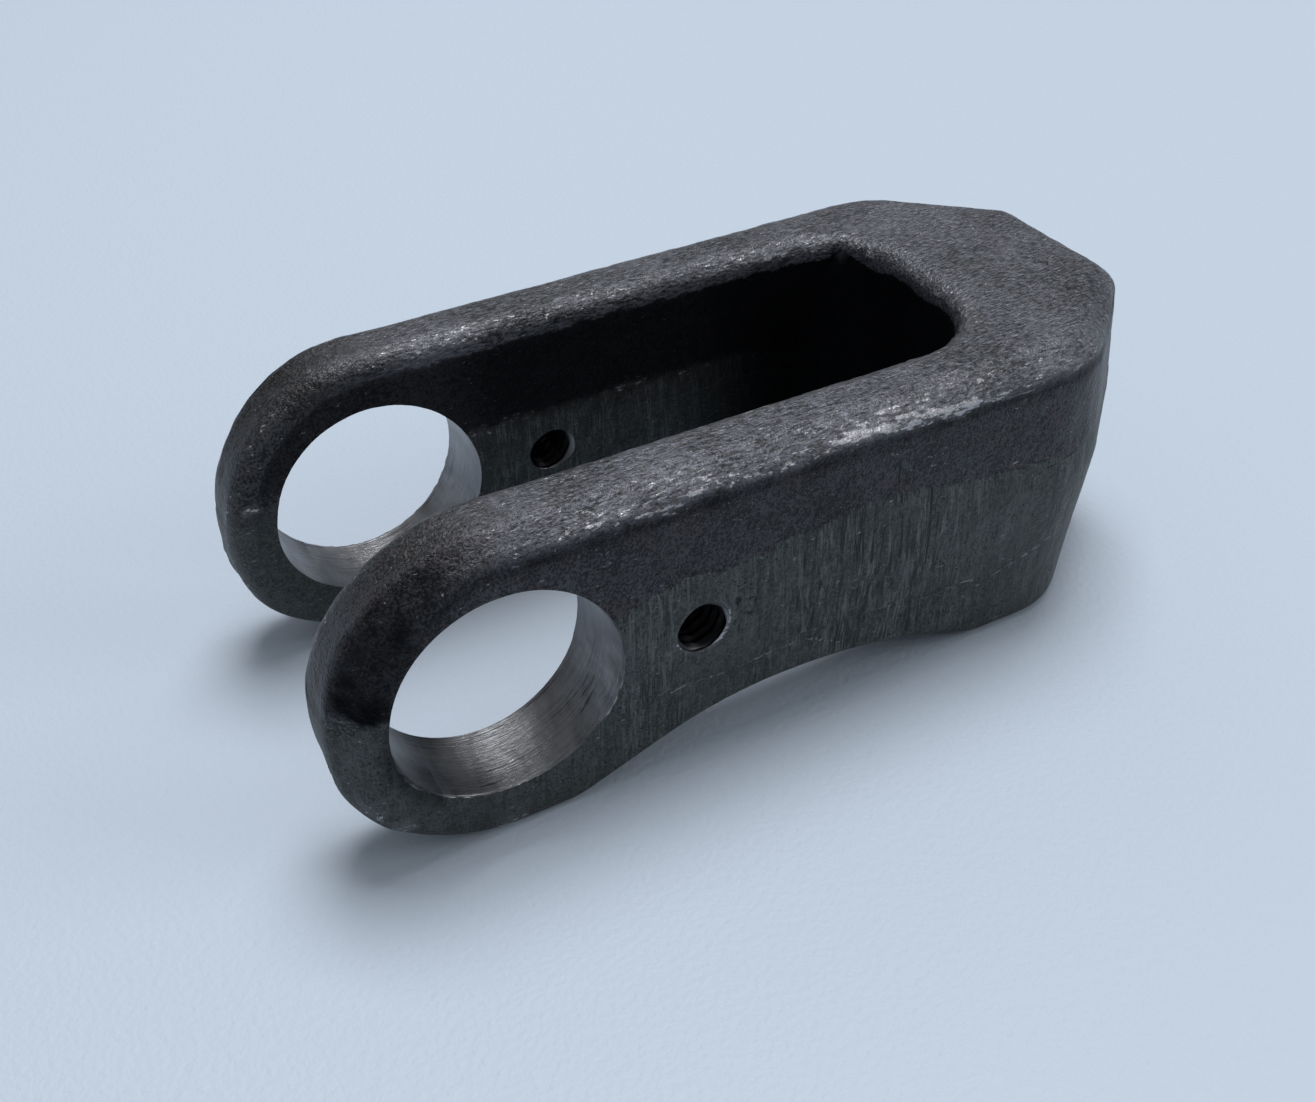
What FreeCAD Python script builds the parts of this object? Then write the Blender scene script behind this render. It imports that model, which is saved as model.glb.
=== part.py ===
"""Forged yoke: a one-piece drop-forged steel clevis with machined pin bores.

The forging is modelled as the two halves of its die, one above and one below
the parting plane.  Both have the same draft; the upper half's edges are rounded
and the lower half's are flat.  The pin bore and the tapped cross holes are
machined after the halves are joined.

Frame: origin on the pin axis, midway between the arms.  +X runs from the pin
to the rear of the yoke, +Y along the pin, +Z up.  Millimetres and degrees.
"""
import FreeCAD, Part
import Sketcher
import math
import os

V = FreeCAD.Vector

SIZES = {
    # machined features
    "bore_d": 25.4,         # pin bore through both arms
    "tap_drill_d": 5.2,     # cross holes, tapped 1/4-20 UNC
    "tap_pos": 22.1,        # cross holes behind the pin axis
    # forging in plan, at the parting plane
    "parting": 2.2,         # height of that plane above the pin axis
    "half_width": 24.5,     # outer side of an arm from the middle
    "slot_half": 13.1,      # inner side of an arm from the middle
    "slot_end": 64.9,       # closed end of the slot
    "slot_corner": 9.6,     # corners of the closed end
    "bend_pos": 73.9,       # where the sides turn in towards the rear
    "bend_radius": 15.0,
    "rear_pos": 89.5,       # rear face
    "rear_half": 10.2,      # half width of the rear face
    "rear_radius": 5.0,
    # forging in side view
    "eye_pos": 0.9,         # centre of the eye's round behind the pin axis
    "eye_radius": 19.1,     # round of the eyes, and height of the flat top
    "arch_angle": 20.0,     # slope that leads from under the eye into the arch
    "arch_pos": 34.0,       # highest point of the arch under the arms
    "arch_height": 12.6,    # depth of that point below the pin axis
    "arch_front": 50.0,     # arch radius towards the eye
    "arch_back": 64.0,      # arch radius towards the rear
    "rear_depth": 18.0,     # underside of the rear block
    "pad_blend": 6.0,       # rounding where the eye's flat meets the slope
    "foot_blend": 9.0,      # rounding where the arch meets the rear underside
    # draft angles
    "draft_eye": 5.0,       # front of the eyes, below the parting plane
    "draft_outside": 3.5,   # sides, tail and rear, both halves
    "draft_slot": 5.0,      # walls of the slot, both halves
    # edge radii of the upper half
    "top_outer": 4.5,       # outer rim
    "top_inner": 2.3,       # rim of the slot
    # flats on the edges of the lower half
    "low_outer": 0.8,       # outer rim
    "low_inner": 2.5,       # rim of the slot
    # how far the cutting sketches reach past the forging
    "margin": 12.0,
}

doc = FreeCAD.newDocument("forged_yoke")
sheet = doc.addObject("Spreadsheet::Sheet", "sizes")
for row, (name, value) in enumerate(SIZES.items(), start=1):
    sheet.set("A%d" % row, name)
    sheet.set("B%d" % row, str(value))
    sheet.setAlias("B%d" % row, name)
doc.recompute()

ORIGIN, X_AXIS = (-1, 1), -1     # sketch origin and its horizontal axis


def new_body(name):
    body = doc.addObject("PartDesign::Body", name)
    body.Label = name
    return body


def new_sketch(body, name, role):
    """A sketch on one of the body's own origin planes; plans lie on the parting plane."""
    sketch = body.newObject("Sketcher::SketchObject", name)
    plane = [f for f in body.Origin.OriginFeatures if f.Role == role][0]
    sketch.AttachmentSupport = (plane, "")
    sketch.MapMode = "FlatFace"
    if role == "XY_Plane":
        sketch.setExpression("AttachmentOffset.Base.z", "sizes.parting")
    return sketch


def line(sketch, start, end):
    return sketch.addGeometry(Part.LineSegment(V(*start, 0), V(*end, 0)), False)


def arc(sketch, centre, radius, from_deg, to_deg):
    circle = Part.Circle(V(*centre, 0), V(0, 0, 1), radius)
    return sketch.addGeometry(
        Part.ArcOfCircle(circle, math.radians(from_deg), math.radians(to_deg)), False)


def rule(sketch, kind, *args):
    return sketch.addConstraint(Sketcher.Constraint(kind, *args))


def bind(sketch, kind, *args, to):
    """Add a dimension with its present value, then bind it to the sheet."""
    index = rule(sketch, kind, *args)
    sketch.setExpression("Constraints[%d]" % index, to)


def join(sketch, ends):
    """Coincident constraints for pairs of (geometry, end) points."""
    for a, b in ends:
        rule(sketch, "Coincident", *a, *b)


def polygon(sketch, corners):
    """Closed outline of lines.  A corner is (x, y, expression x, expression y)."""
    count = len(corners)
    for i, (x, y, _, _) in enumerate(corners):
        line(sketch, (x, y), corners[(i + 1) % count][:2])
    join(sketch, [((i, 2), ((i + 1) % count, 1)) for i in range(count)])
    for i, (x, y, to_x, to_y) in enumerate(corners):
        bind(sketch, "DistanceX", *ORIGIN, i, 1, x, to=to_x)
        bind(sketch, "DistanceY", *ORIGIN, i, 1, y, to=to_y)


def plan_outline(sketch):
    """Outside of the forging at the parting plane, its bends still sharp."""
    s = SIZES
    front = -s["eye_radius"] - s["margin"]
    front_x = "-sizes.eye_radius - sizes.margin"
    side, bend, rear, back = s["half_width"], s["bend_pos"], s["rear_pos"], s["rear_half"]
    polygon(sketch, [
        (front, -side, front_x, "-sizes.half_width"),
        (bend, -side, "sizes.bend_pos", "-sizes.half_width"),
        (rear, -back, "sizes.rear_pos", "-sizes.rear_half"),
        (rear, back, "sizes.rear_pos", "sizes.rear_half"),
        (bend, side, "sizes.bend_pos", "sizes.half_width"),
        (front, side, front_x, "sizes.half_width")])


def slot_outline(sketch):
    """The slot at the parting plane, open past the eyes."""
    s = SIZES
    front = -s["eye_radius"] - 2 * s["margin"]
    front_x = "-sizes.eye_radius - 2 * sizes.margin"
    end, half = s["slot_end"], s["slot_half"]
    polygon(sketch, [
        (front, -half, front_x, "-sizes.slot_half"),
        (end, -half, "sizes.slot_end", "-sizes.slot_half"),
        (end, half, "sizes.slot_end", "sizes.slot_half"),
        (front, half, front_x, "sizes.slot_half")])


def front_point():
    """Foremost point of the eyes, on the parting plane: (x, expression)."""
    s = SIZES
    draft = math.radians(s["draft_eye"])
    x = s["eye_pos"] - s["eye_radius"] / math.cos(draft) - s["parting"] * math.tan(draft)
    return x, ("sizes.eye_pos - sizes.eye_radius / cos(sizes.draft_eye * 1 deg)"
               " - sizes.parting * tan(sizes.draft_eye * 1 deg)")


def eye_front(sketch, up):
    """Parting line, drafted front and round of an eye; up is +1 or -1."""
    s = SIZES
    r, reach = s["eye_radius"], s["eye_radius"] + 2 * s["margin"]
    centre, parting = s["eye_pos"], s["parting"]
    nose, nose_x = front_point()
    # the two tangents from the nose touch the round at these angles
    away = math.degrees(math.atan2(parting, centre - nose))
    spread = math.degrees(math.acos(r / math.hypot(centre - nose, parting)))
    turn = math.radians(away + up * spread)
    touch = (centre - r * math.cos(turn), r * math.sin(turn))
    line_in = line(sketch, (-reach, parting), (nose, parting))
    front = line(sketch, (nose, parting), touch)
    if up > 0:
        eye = arc(sketch, (centre, 0), r, 90, 180 - math.degrees(turn))
        touch_end, crown_end = 2, 1
    else:
        eye = arc(sketch, (centre, 0), r, 180 - math.degrees(turn), 270)
        touch_end, crown_end = 1, 2
    join(sketch, [((line_in, 2), (front, 1))])
    rule(sketch, "Tangent", front, 2, eye, touch_end)
    rule(sketch, "Horizontal", line_in)
    rule(sketch, "PointOnObject", eye, 3, X_AXIS)
    rule(sketch, "Vertical", eye, crown_end, eye, 3)
    bind(sketch, "DistanceX", *ORIGIN, eye, 3, centre, to="sizes.eye_pos")
    bind(sketch, "DistanceX", *ORIGIN, line_in, 1, -reach,
         to="-sizes.eye_radius - 2 * sizes.margin")
    bind(sketch, "DistanceY", *ORIGIN, line_in, 1, parting, to="sizes.parting")
    bind(sketch, "DistanceX", *ORIGIN, front, 1, nose, to=nose_x)
    bind(sketch, "Radius", eye, r, to="sizes.eye_radius")
    return (line_in, 1), (eye, crown_end)


def side_above(sketch):
    """What the die leaves empty in front of and above the eyes."""
    s = SIZES
    r, reach = s["eye_radius"], s["eye_radius"] + 2 * s["margin"]
    start, crown = eye_front(sketch, +1)
    rise = line(sketch, (s["eye_pos"], r), (s["eye_pos"], reach))
    roof = line(sketch, (s["eye_pos"], reach), (-reach, reach))
    back = line(sketch, (-reach, reach), (-reach, s["parting"]))
    join(sketch, [(crown, (rise, 1)), ((rise, 2), (roof, 1)), ((roof, 2), (back, 1)),
                  ((back, 2), start)])
    rule(sketch, "Vertical", rise)
    rule(sketch, "Horizontal", roof)
    rule(sketch, "Vertical", back)
    bind(sketch, "DistanceY", *ORIGIN, roof, 1, reach,
         to="sizes.eye_radius + 2 * sizes.margin")


def underside_corners():
    """Where the flat under the eye ends and where the rear underside starts."""
    s = SIZES
    a, front_r, back_r = math.radians(s["arch_angle"]), s["arch_front"], s["arch_back"]
    rise = s["eye_radius"] - s["arch_height"]
    slope_x = s["arch_pos"] - front_r * math.sin(a)
    slope_rise = rise - front_r * (1 - math.cos(a))
    fall = s["rear_depth"] - s["arch_height"]
    run = math.sqrt(back_r ** 2 - (back_r - fall) ** 2)
    return ((slope_x - slope_rise / math.tan(a), -s["eye_radius"]),
            (s["arch_pos"] + run, -s["rear_depth"]))


def side_below(sketch):
    """What the die leaves empty under the eyes, the arch and the rear block."""
    s = SIZES
    r, m, a = s["eye_radius"], 2 * s["margin"], math.radians(s["arch_angle"])
    front_r, back_r = s["arch_front"], s["arch_back"]
    top = (s["arch_pos"], -s["arch_height"])
    front_c = (top[0], top[1] - front_r)
    back_c = (top[0], top[1] - back_r)
    touch = (front_c[0] - front_r * math.sin(a), front_c[1] + front_r * math.cos(a))
    pad_end, foot = underside_corners()
    fall = math.degrees(math.asin((foot[0] - top[0]) / back_r))
    rear = s["rear_pos"] + m

    start, crown = eye_front(sketch, -1)
    pad = line(sketch, (s["eye_pos"], -r), pad_end)
    slope = line(sketch, pad_end, touch)
    arch_f = arc(sketch, front_c, front_r, 90, 90 + s["arch_angle"])
    arch_b = arc(sketch, back_c, back_r, 90 - fall, 90)
    under = line(sketch, foot, (rear, -s["rear_depth"]))
    drop = line(sketch, (rear, -s["rear_depth"]), (rear, -r - m))
    floor = line(sketch, (rear, -r - m), (-r - m, -r - m))
    back = line(sketch, (-r - m, -r - m), (-r - m, s["parting"]))
    join(sketch, [(crown, (pad, 1)), ((pad, 2), (slope, 1)), ((arch_f, 1), (arch_b, 2)),
                  ((arch_b, 1), (under, 1)), ((under, 2), (drop, 1)),
                  ((drop, 2), (floor, 1)), ((floor, 2), (back, 1)), ((back, 2), start)])
    rule(sketch, "Tangent", slope, 2, arch_f, 2)
    for flat in (pad, under, floor):
        rule(sketch, "Horizontal", flat)
    for upright in (drop, back):
        rule(sketch, "Vertical", upright)
    bind(sketch, "Angle", slope, a, to="sizes.arch_angle")
    bind(sketch, "Radius", arch_f, front_r, to="sizes.arch_front")
    bind(sketch, "Radius", arch_b, back_r, to="sizes.arch_back")
    bind(sketch, "DistanceX", *ORIGIN, arch_f, 1, top[0], to="sizes.arch_pos")
    bind(sketch, "DistanceY", *ORIGIN, arch_f, 1, top[1], to="-sizes.arch_height")
    bind(sketch, "DistanceX", *ORIGIN, arch_f, 3, top[0], to="sizes.arch_pos")
    bind(sketch, "DistanceX", *ORIGIN, arch_b, 3, top[0], to="sizes.arch_pos")
    bind(sketch, "DistanceY", *ORIGIN, under, 1, -s["rear_depth"], to="-sizes.rear_depth")
    bind(sketch, "DistanceX", *ORIGIN, drop, 1, rear, to="sizes.rear_pos + 2 * sizes.margin")
    bind(sketch, "DistanceY", *ORIGIN, floor, 1, -r - m,
         to="-sizes.eye_radius - 2 * sizes.margin")


def normal_of(face):
    u, v = face.Surface.parameter(face.CenterOfMass)
    return face.normalAt(u, v)


def is_wall(face):
    """A side that the die's draft leans, as opposed to the parting plane and the profile."""
    normal = normal_of(face)
    in_front = face.CenterOfMass.x < 0 and abs(normal.y) < 0.01
    return abs(normal.z) < 0.25 and not in_front


def in_slot(face):
    at = face.CenterOfMass
    return at.x < SIZES["slot_end"] + 3 and abs(at.y) < SIZES["slot_half"] + 3


def walls(shape, region):
    """Names of the walls of one region: outside or slot."""
    return ["Face%d" % number for number, face in enumerate(shape.Faces, start=1)
            if is_wall(face) and in_slot(face) == (region == "slot")]


def parting_face(shape):
    level = [(abs(f.CenterOfMass.z - SIZES["parting"]), "Face%d" % number)
             for number, f in enumerate(shape.Faces, start=1) if abs(normal_of(f).z) > 0.99]
    return min(level)[1]


def rim(shape, inner):
    """Edges between the die's walls and the eye, top or underside."""
    names = []
    for number, edge in enumerate(shape.Edges, start=1):
        faces = shape.ancestorsOfType(edge, Part.Face)
        sides = [f for f in faces if is_wall(f)]
        others = [f for f in faces if not is_wall(f)]
        parting = all(abs(v.Point.z - SIZES["parting"]) < 1e-6 for v in edge.Vertexes)
        if len(sides) == 1 and len(others) == 1 and not parting and in_slot(sides[0]) == inner:
            names.append("Edge%d" % number)
    return names


def corners(shape, x, y):
    """Edges between two walls that leave the parting plane at (x, y) or (x, -y)."""
    names = []
    for number, edge in enumerate(shape.Edges, start=1):
        ends = [v.Point for v in edge.Vertexes]
        near = [abs(p.x - x) < 0.01 and abs(abs(p.y) - y) < 0.01
                and abs(p.z - SIZES["parting"]) < 1e-6 for p in ends]
        if any(near) and not all(near) and abs(ends[0].z - ends[-1].z) > 5:
            names.append("Edge%d" % number)
    return names


def across(shape, x, z):
    """Edges that run along Y at height z, within 2 mm of x."""
    names = []
    for number, edge in enumerate(shape.Edges, start=1):
        ends = [v.Point for v in edge.Vertexes]
        level = all(abs(p.x - x) < 2 and abs(p.z - z) < 1e-3 for p in ends)
        if level and abs(ends[0].x - ends[-1].x) < 1e-3:
            names.append("Edge%d" % number)
    return names


def fillet(body, base, edges, radius):
    feature = body.newObject("PartDesign::Fillet", radius + "_fillet")
    feature.Base = (base, edges)
    feature.setExpression("Radius", "sizes." + radius)
    doc.recompute()
    return feature


def chamfer(body, base, edges, size):
    feature = body.newObject("PartDesign::Chamfer", size + "_chamfer")
    feature.Base = (base, edges)
    feature.setExpression("Size", "sizes." + size)
    doc.recompute()
    return feature


def draft(body, base, region, up):
    """Lean the walls of one region away from the die's parting plane."""
    feature = body.newObject("PartDesign::Draft", "drafted_" + region)
    feature.Base = (base, walls(base.Shape, region))
    feature.NeutralPlane = (base, [parting_face(base.Shape)])
    feature.Reversed = up < 0
    feature.setExpression("Angle", "sizes.draft_" + region)
    doc.recompute()
    return feature


def die_half(name, up, side_profile):
    """One half of the forging, above (+1) or below (-1) the parting plane."""
    s = SIZES
    body = new_body(name)
    plan = new_sketch(body, name + "_plan", "XY_Plane")
    plan_outline(plan)
    pad = body.newObject("PartDesign::Pad", name + "_forging")
    pad.Profile = plan
    pad.Reversed = up < 0
    pad.setExpression("Length", "sizes.eye_radius - %d * sizes.parting" % up)

    slot = new_sketch(body, name + "_slot_plan", "XY_Plane")
    slot_outline(slot)
    pocket = body.newObject("PartDesign::Pocket", name + "_slot")
    pocket.Profile = slot
    pocket.Reversed = up > 0
    pocket.setExpression("Length", "2 * sizes.eye_radius")
    doc.recompute()

    last = pocket
    for region in ("outside", "slot"):
        last = draft(body, last, region, up)
    for x, y, radius in (("bend_pos", "half_width", "bend_radius"),
                         ("rear_pos", "rear_half", "rear_radius"),
                         ("slot_end", "slot_half", "slot_corner")):
        last = fillet(body, last, corners(last.Shape, s[x], s[y]), radius)

    side = new_sketch(body, name + "_side", "XZ_Plane")
    side_profile(side)
    trim = body.newObject("PartDesign::Pocket", name + "_profile")
    trim.Profile = side
    trim.Type = "ThroughAll"
    trim.SideType = "Symmetric"
    doc.recompute()
    return body, trim


upper, upper_side = die_half("upper_half", +1, side_above)
top = fillet(upper, upper_side, rim(upper_side.Shape, inner=False), "top_outer")
fillet(upper, top, rim(top.Shape, inner=True), "top_inner")

lower, lower_side = die_half("lower_half", -1, side_below)
pad_end, foot_start = underside_corners()
low = fillet(lower, lower_side, across(lower_side.Shape, *pad_end), "pad_blend")
low = fillet(lower, low, across(low.Shape, *foot_start), "foot_blend")
low = chamfer(lower, low, rim(low.Shape, inner=False), "low_outer")
chamfer(lower, low, rim(low.Shape, inner=True), "low_inner")

forging = doc.addObject("Part::Fuse", "forging")
forging.Base, forging.Tool = upper, lower


def drill(name, diameter, x):
    """A cylinder along Y right through both arms."""
    tool = doc.addObject("Part::Cylinder", name)
    tool.setExpression("Radius", "sizes.%s / 2" % diameter)
    tool.setExpression("Height", "2 * sizes.half_width + 2 * sizes.margin")
    tool.Placement = FreeCAD.Placement(V(0, 0, 0), FreeCAD.Rotation(V(1, 0, 0), -90))
    tool.setExpression("Placement.Base.x", x)
    tool.setExpression("Placement.Base.y", "-sizes.half_width - sizes.margin")
    return tool


bored = doc.addObject("Part::Cut", "bored")
bored.Base, bored.Tool = forging, drill("pin_bore", "bore_d", "0")
yoke = doc.addObject("Part::Cut", "forged_yoke")
yoke.Base, yoke.Tool = bored, drill("cross_hole", "tap_drill_d", "sizes.tap_pos")
yoke.Label = "forged_yoke"
doc.recompute()

for thing in doc.Objects:
    if "Invalid" in thing.State or "Error" in thing.State:
        raise RuntimeError("%s failed: %s" % (thing.Name, thing.State))
if yoke.Shape.isNull() or not yoke.Shape.isValid() or len(yoke.Shape.Solids) != 1:
    raise RuntimeError("the yoke is not one sound solid")

os.makedirs("parts", exist_ok=True)
yoke.Shape.exportStep("parts/%s.step" % yoke.Label)
print("forged_yoke", round(yoke.Shape.Volume), "mm3", yoke.Shape.BoundBox)
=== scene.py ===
"""Looks of a forged yoke: the drop-forged skin with its sheared trim band, the
machined pin bore, the tapped cross holes, and a plain studio.

Lengths are metres in the row's frame unless a name ends in _mm: origin on the
pin axis midway between the arms, +X to the rear block, +Z up.
"""

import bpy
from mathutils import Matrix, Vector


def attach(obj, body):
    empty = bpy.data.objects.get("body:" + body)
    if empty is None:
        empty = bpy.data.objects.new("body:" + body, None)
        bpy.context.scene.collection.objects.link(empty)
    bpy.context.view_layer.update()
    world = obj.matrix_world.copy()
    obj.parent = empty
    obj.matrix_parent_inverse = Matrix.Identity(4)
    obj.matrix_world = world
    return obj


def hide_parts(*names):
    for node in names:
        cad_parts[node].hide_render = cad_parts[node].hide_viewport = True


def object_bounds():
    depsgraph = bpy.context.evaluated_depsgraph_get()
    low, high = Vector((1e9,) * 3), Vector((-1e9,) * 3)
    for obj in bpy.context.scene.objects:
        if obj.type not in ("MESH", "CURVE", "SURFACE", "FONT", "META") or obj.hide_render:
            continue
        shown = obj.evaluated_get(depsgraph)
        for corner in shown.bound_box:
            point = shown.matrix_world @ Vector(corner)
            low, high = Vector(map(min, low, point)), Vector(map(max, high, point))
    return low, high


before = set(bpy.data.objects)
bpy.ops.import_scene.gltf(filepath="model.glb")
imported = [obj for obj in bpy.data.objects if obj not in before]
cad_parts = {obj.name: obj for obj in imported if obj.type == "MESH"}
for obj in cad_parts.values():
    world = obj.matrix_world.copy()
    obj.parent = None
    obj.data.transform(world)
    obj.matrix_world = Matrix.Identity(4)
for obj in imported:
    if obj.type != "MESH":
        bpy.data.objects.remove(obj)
CAD_BOX = [list(corner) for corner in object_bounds()]

import math

import bmesh
import bpy
import numpy as np
from bpy.props import FloatProperty, FloatVectorProperty, PointerProperty
from mathutils import Matrix, Vector

bl_info = {
    "name": "Forged Yoke",
    "version": (1, 0, 0),
    "blender": (4, 5, 0),
    "location": "View3D > Sidebar > Forged Yoke",
    "description": "Builds the looks of a forged yoke and its studio",
    "category": "Object",
}

NODE = "forged_yoke"
BODY = "root"
MM = 0.001


# ------------------------ settings

def length(name, description, default_mm):
    """A length property whose default is given in millimetres."""
    return FloatProperty(name=name, description=description, default=default_mm * MM,
                         unit="LENGTH", precision=5)


def angle_of(name, description, default_degrees):
    """An angle property whose default is given in degrees."""
    return FloatProperty(name=name, description=description, unit="ROTATION",
                         default=math.radians(default_degrees))


def colour(name, description, default):
    """A colour property in linear red, green and blue."""
    return FloatVectorProperty(name=name, description=description, default=default,
                               subtype="COLOR", size=3, min=0.0, max=1.0)


class YokeForm(bpy.types.PropertyGroup):
    """Sizes of the forging: the solid's, but for lower rims, tail draft and full nose."""
    parting: length("Parting plane", "Height of the die's parting plane", 2.2)
    half_width: length("Half width", "Outer side of an arm from the middle", 24.5)
    slot_half: length("Slot half width", "Inner side of an arm from the middle", 13.1)
    slot_end: length("Slot end", "Closed end of the slot", 64.9)
    slot_corner: length("Slot corner", "Radius of the corners of the slot's end", 9.6)
    bend_pos: length("Bend", "Where the sides turn in towards the rear", 73.9)
    bend_radius: length("Bend radius", "Radius of that bend", 15.0)
    rear_pos: length("Rear face", "Rear face from the pin axis", 89.5)
    rear_half: length("Rear half width", "Half width of the rear face", 10.2)
    rear_radius: length("Rear corner", "Radius of the rear face's corners", 5.0)
    eye_pos: length("Eye centre", "Centre of the eye's round behind the pin axis", 0.9)
    eye_radius: length("Eye radius", "Radius of the eye's round", 19.1)
    full: length("Full nose", "How far the eye is full below its nose", 0.45)
    draft_outside: angle_of("Outside draft", "Lean of the outside", 3.5)
    draft_tail: angle_of("Tail draft", "Lean of the rear's lower half", 7.0)
    draft_slot: angle_of("Slot draft", "Lean of the slot's walls", 5.0)
    top_outer: length("Top outer round", "Round of the outer rim, upper half", 4.5)
    low_outer: length("Low outer round", "Round of the outer rim, lower half", 1.2)
    top_inner: length("Top inner round", "Round of the slot's rim, upper half", 2.3)
    low_inner: length("Low inner round", "Round of the slot's rim, lower half", 2.9)
    spacing: length("Mesh spacing", "Distance between stations along the arms", 0.54)


class YokeSkin(bpy.types.PropertyGroup):
    """Roughness of the forged skin."""
    peel: length("Orange peel", "Height of the blasted skin's small lumps", 0.05)
    swell: length("Swell", "Height of the skin's long waves", 0.12)
    band_step: length("Trim step", "How far the sheared band stands out", 0.07)
    tear: length("Torn rim", "Raggedness of the slot's upper rim", 0.30)
    ridge: length("Crest", "How far the worn crest of a rim stands out", 0.24)


class YokeHoles(bpy.types.PropertyGroup):
    """Machined holes."""
    bore_radius: length("Pin bore radius", "Radius of the pin bore", 12.7)
    hole_radius: length("Tap drill radius", "Radius at the thread's crests", 2.6)
    thread_depth: length("Thread depth", "Crest to root of the thread", 0.5)
    thread_pitch: length("Thread pitch", "Distance between crests", 1.27)
    hole_pos: length("Cross hole position", "Cross holes behind the pin axis", 22.1)
    break_edge: length("Broken edge", "Width of the pin bore's broken edge", 0.16)
    break_depth: length("Broken edge depth", "How far inside the face that edge starts", 0.3)
    groove: length("Groove", "Depth of the groove inside the near mouth", 0.06)


class YokeColours(bpy.types.PropertyGroup):
    """Colours of the steel's skins, and of the light and shade painted on them."""
    scale_dark: colour("Dark scale", "Scale in the hollows", (0.005, 0.006, 0.007))
    scale_light: colour("Light scale", "Scale on the blasted faces", (0.050, 0.053, 0.060))
    scale_brown: colour("Brown scale", "Scale with a brown or purple cast",
                        (0.050, 0.044, 0.050))
    grey_dark: colour("Dark grey skin", "Lower half and band, in the hollows",
                      (0.008, 0.011, 0.011))
    grey_light: colour("Light grey skin", "Lower half and band", (0.070, 0.079, 0.077))
    # Painted light: the colour that makes the upper faces and rims lighter.
    painted_top_light: colour("Film", "Thin film on the upper faces", (0.160, 0.168, 0.200))
    # Bare steel along the edges, and a painted highlight along the crests and rims.
    wear_and_highlight: colour("Worn crest", "Steel laid bare along the edges", (0.50, 0.50, 0.53))
    machined: colour("Machined", "Turned steel in the bores", (0.30, 0.305, 0.32))
    # Painted shade deep in the slot, in a line under the crests and on the steep fronts of the
    # eyes.
    painted_shade: colour("Soot", "Deep in the slot", (0.0042, 0.0048, 0.0066))
    # Painted shade deep in the tapped holes.
    painted_hole_shade: colour("Oil", "Deep in the tapped holes", (0.003, 0.003, 0.004))


class YokeStage(bpy.types.PropertyGroup):
    """Studio, lamps and camera."""
    floor_colour: colour("Floor", "Colour of the floor", (0.50, 0.575, 0.675))
    floor_size: length("Floor size", "Half the side of the floor", 3000)
    floor_height: length("Floor height", "Height of the floor at its pivot", -19.13)
    floor_pivot: length("Floor pivot", "Where along X the floor tilts", 7.4)
    tilt: angle_of("Floor tilt", "Lean of the floor that the yoke rests on", 0.78)
    sky_colour: colour("Sky", "Colour of the light from all round", (0.92, 0.96, 1.0))
    sky_strength: FloatProperty(name="Sky strength", default=0.30, min=0.0,
                                description="Strength of the light from all round")
    azimuth: angle_of("Azimuth", "Camera's turn about the upright axis", -25.54)
    elevation: angle_of("Elevation", "Camera's height above the horizon", 32.43)
    roll: angle_of("Roll", "Camera's turn about its own axis", -2.30)
    place: FloatVectorProperty(name="Camera place", subtype="TRANSLATION", size=3,
                               description="Where the camera stands",
                               default=(-0.03864, -0.12917, 0.10701))
    lens: FloatProperty(name="Lens", description="Focal length in mm on a 36 mm sensor",
                        default=41.64)
    shift: FloatVectorProperty(name="Shift", size=2, default=(0.04175, -0.1238),
                               description="Lens shift, as a share of the sensor's width")


# Each lamp's name, place in metres, side in metres and power in watts.
LAMPS = (("overhead", (0.24, 0.25, 1.53), 0.80, 20.0),
         ("right_window", (1.50, -0.90, 0.95), 0.90, 7.0),
         ("back_wall", (0.20, 1.70, 0.90), 1.50, 1.7))
LAMP_AIM = (0.03, 0.0, 0.0)


# ------------------------ numbers

def smooth(edge0, edge1, value):
    """0 below edge0, 1 above edge1, with the cubic 3t^2 - 2t^3 between them."""
    t = np.clip((value - edge0) / (edge1 - edge0), 0.0, 1.0)
    return t * t * (3.0 - 2.0 * t)


def bell(value, centre, width):
    """A Gaussian bump of height 1 and the given half width."""
    return np.exp(-((value - centre) / width) ** 2)


def lattice(points, size, seed=0):
    """Value noise from -1 to 1.

    Each corner of a cubic lattice with the given cell size has a hashed value.
    A point takes the eight corners of its cell, weighted with the quintic fade
    of its place in the cell.
    """
    scaled = points / np.asarray(size)
    cell = np.floor(scaled).astype(np.int64)
    part = scaled - cell
    fade = part ** 3 * (part * (part * 6.0 - 15.0) + 10.0)
    total = np.zeros(len(points))
    for corner in range(8):
        step = np.array([corner & 1, corner >> 1 & 1, corner >> 2])
        at = cell + step
        code = at[:, 0] * 73856093 ^ at[:, 1] * 19349663 ^ at[:, 2] * 83492791
        code = (code ^ seed * 374761393) & 0x7FFFFFFF
        code = ((code ^ code >> 13) * 1274126177) & 0x7FFFFFFF
        code = code ^ code >> 16
        weight = np.where(step, fade, 1.0 - fade).prod(axis=1)
        total += weight * ((code & 0xFFFF) / 32767.5 - 1.0)
    return total


def layered(points, size, layers, seed=0):
    """Sum of value noises, each of half the cell size and 0.55 of the height before it."""
    return sum(0.55 ** n * lattice(points, np.asarray(size) / 2.0 ** n, seed + n)
               for n in range(layers))


# ------------------------ the forging's surface

ARC_POINTS = 24                 # on each rounded corner of the plan
SIDE_STEPS = (30, 11)           # up an outer wall, and over its rim
SLOT_STEPS = (25, 6)            # up a slot wall, and over its rim
FACE_STEPS = 19                 # across the top, the underside or an eye's round
EYE_STEPS = 103                 # round the nose of an eye
END_PATH = 108 * MM             # length of the path round the closed end
HUB_BACK = 12.5 * MM            # from the slot's end to the hub that it is turned about
RIM_ZONE = 3.0 * MM             # part of the height that keeps its shape when stretched
NOSE_INNER = 0.9 * MM           # round of the slot's rim below the nose of an eye


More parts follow.
